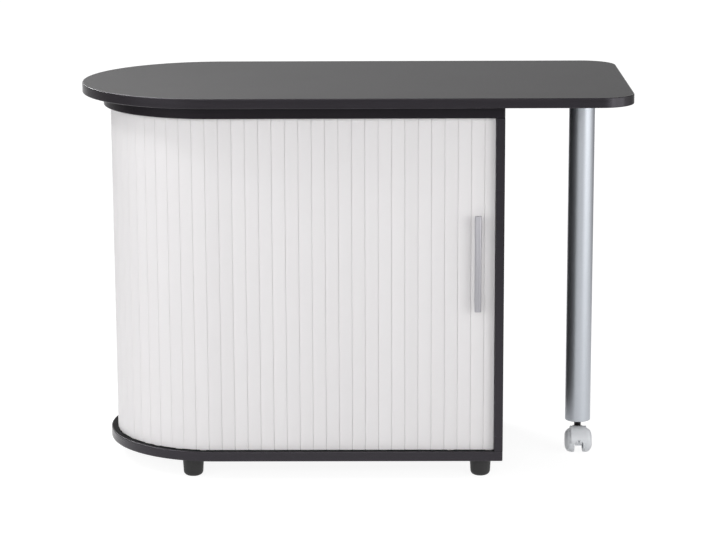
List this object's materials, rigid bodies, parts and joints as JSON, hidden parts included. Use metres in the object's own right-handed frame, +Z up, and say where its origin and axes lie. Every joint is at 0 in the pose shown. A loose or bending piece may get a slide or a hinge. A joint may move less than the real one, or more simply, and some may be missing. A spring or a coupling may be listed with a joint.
{
  "type": "computer desk",
  "caption": "Computer desk with a swivelling desktop on a tube leg with a caster, over a D-shaped cabinet closed by a sliding tambour of upright slats.",
  "frame": {"origin": "on the floor under the middle of the desktop, in the rest pose", "axes": "+X along the desktop towards the leg, the front faces -Y, +Z up"},
  "size_m": [1.0499, 0.515, 0.745],
  "materials": {
    "black_laminate_board": "black melamine on particle board, fine grain, satin",
    "black_edge_band": "black plastic edge band, satin",
    "zinc_steel": "zinc-plated steel",
    "black_plastic": "black moulded plastic, matt",
    "white_nylon": "natural nylon",
    "silver_lacquered_steel": "silver lacquer on steel tube",
    "dark_steel": "dark-blacked steel",
    "grey_plastic": "light grey moulded plastic",
    "grey_handle": "satin grey bar",
    "white_slat": "white plastic slat, satin"
  },
  "bodies": {
    "cabinet": {"base_panel": "black_laminate_board", "base_edge_band": "black_edge_band", "cabinet_top_panel": "black_laminate_board", "cabinet_top_edge_band": "black_edge_band", "side_panel": "black_laminate_board", "side_panel_edge_band": "black_edge_band", "partition": "black_laminate_board", "back_panel": "black_laminate_board", "shelf": "black_laminate_board", "shelf_pins": "zinc_steel", "board_screws": "zinc_steel", "foot_front_left": "black_plastic", "foot_front_right": "black_plastic", "foot_rear_left": "black_plastic", "foot_rear_right": "black_plastic", "foot_screws": "zinc_steel", "pivot_bush": "white_nylon", "glide_pads": "white_nylon"},
    "desktop": {"desktop": "black_laminate_board", "desktop_edge_band": "black_edge_band", "pivot_bolt": "zinc_steel", "pivot_washer": "zinc_steel", "leg_plate": "silver_lacquered_steel", "leg_plate_screws": "zinc_steel", "leg_tube": "silver_lacquered_steel", "leg_plug": "black_plastic"},
    "caster": {"caster_stem": "dark_steel", "caster_hood": "grey_plastic", "caster_axle": "zinc_steel"},
    "wheel_left": {"caster_wheel_left": "grey_plastic"},
    "wheel_right": {"caster_wheel_right": "grey_plastic"},
    "tambour_front": {"tambour_lead": "white_slat", "handle_bar": "grey_handle", "handle_posts": "grey_handle", "handle_screws": "zinc_steel"},
    "slats_pair_01": {"tambour_pair_01": "white_slat"},
    "slats_pair_02": {"tambour_pair_02": "white_slat"},
    "slats_pair_03": {"tambour_pair_03": "white_slat"},
    "slats_pair_04": {"tambour_pair_04": "white_slat"},
    "slats_pair_05": {"tambour_pair_05": "white_slat"},
    "slats_pair_06": {"tambour_pair_06": "white_slat"},
    "slats_pair_07": {"tambour_pair_07": "white_slat"},
    "slats_pair_08": {"tambour_pair_08": "white_slat"},
    "slats_pair_09": {"tambour_pair_09": "white_slat"},
    "slats_bend": {"tambour_bend_1": "white_slat", "tambour_bend_2": "white_slat", "tambour_bend_3": "white_slat", "tambour_bend_4": "white_slat", "tambour_bend_5": "white_slat"}
  },
  "joints": [
    {"name": "desktop_swivel", "type": "hinge", "parent": "cabinet", "child": "desktop", "pos_m": [-0.2675, 0, 0.72], "axis": [0, 0, 1], "continuous": true},
    {"name": "caster_swivel", "type": "hinge", "parent": "desktop", "child": "caster", "pos_m": [0.4435, 0, 0.061], "axis": [0, 0, 1], "continuous": true},
    {"name": "wheel_left_spin", "type": "hinge", "parent": "caster", "child": "wheel_left", "pos_m": [0.4353, -0.022, 0.024], "axis": [1, 0, 0], "continuous": true},
    {"name": "wheel_right_spin", "type": "hinge", "parent": "caster", "child": "wheel_right", "pos_m": [0.4517, -0.022, 0.024], "axis": [1, 0, 0], "continuous": true},
    {"name": "tambour_slide", "type": "slide", "parent": "cabinet", "child": "tambour_front", "axis": [-1, 0, 0], "range_m": [0, 0.45]},
    {"name": "slats_pair_01_turn", "type": "hinge", "parent": "cabinet", "child": "slats_pair_01", "pos_m": [-0.05586, 2.37552, 0.379], "axis": [0, 0, -1], "range_deg": [0, 9.97]},
    {"name": "slats_pair_02_turn", "type": "hinge", "parent": "cabinet", "child": "slats_pair_02", "pos_m": [-0.08345, 0.85653, 0.379], "axis": [0, 0, -1], "range_deg": [0, 24.01]},
    {"name": "slats_pair_03_turn", "type": "hinge", "parent": "cabinet", "child": "slats_pair_03", "pos_m": [-0.10914, 0.45557, 0.379], "axis": [0, 0, -1], "range_deg": [0, 38.06]},
    {"name": "slats_pair_04_turn", "type": "hinge", "parent": "cabinet", "child": "slats_pair_04", "pos_m": [-0.13447, 0.27017, 0.379], "axis": [0, 0, -1], "range_deg": [0, 52.1]},
    {"name": "slats_pair_05_turn", "type": "hinge", "parent": "cabinet", "child": "slats_pair_05", "pos_m": [-0.15966, 0.16432, 0.379], "axis": [0, 0, -1], "range_deg": [0, 66.14]},
    {"name": "slats_pair_06_turn", "type": "hinge", "parent": "cabinet", "child": "slats_pair_06", "pos_m": [-0.1848, 0.09732, 0.379], "axis": [0, 0, -1], "range_deg": [0, 80.19]},
    {"name": "slats_pair_07_turn", "type": "hinge", "parent": "cabinet", "child": "slats_pair_07", "pos_m": [-0.20989, 0.05279, 0.379], "axis": [0, 0, -1], "range_deg": [0, 94.23]},
    {"name": "slats_pair_08_turn", "type": "hinge", "parent": "cabinet", "child": "slats_pair_08", "pos_m": [-0.23497, 0.02293, 0.379], "axis": [0, 0, -1], "range_deg": [0, 108.27]},
    {"name": "slats_pair_09_turn", "type": "hinge", "parent": "cabinet", "child": "slats_pair_09", "pos_m": [-0.25951, 0.00397, 0.379], "axis": [0, 0, -1], "range_deg": [0, 122.01]},
    {"name": "slats_bend_turn", "type": "hinge", "parent": "cabinet", "child": "slats_bend", "pos_m": [-0.2675, 0, 0.379], "axis": [0, 0, -1], "range_deg": [0, 126.39]}
  ],
  "couplings": [
    {"joint": "slats_pair_01_turn", "follows": "tambour_slide", "rad_per_m": 0.38671},
    {"joint": "slats_pair_02_turn", "follows": "tambour_slide", "rad_per_m": 0.93137},
    {"joint": "slats_pair_03_turn", "follows": "tambour_slide", "rad_per_m": 1.476},
    {"joint": "slats_pair_04_turn", "follows": "tambour_slide", "rad_per_m": 2.0207},
    {"joint": "slats_pair_05_turn", "follows": "tambour_slide", "rad_per_m": 2.5654},
    {"joint": "slats_pair_06_turn", "follows": "tambour_slide", "rad_per_m": 3.11},
    {"joint": "slats_pair_07_turn", "follows": "tambour_slide", "rad_per_m": 3.6547},
    {"joint": "slats_pair_08_turn", "follows": "tambour_slide", "rad_per_m": 4.1993},
    {"joint": "slats_pair_09_turn", "follows": "tambour_slide", "rad_per_m": 4.732},
    {"joint": "slats_bend_turn", "follows": "tambour_slide", "rad_per_m": 4.902}
  ]
}
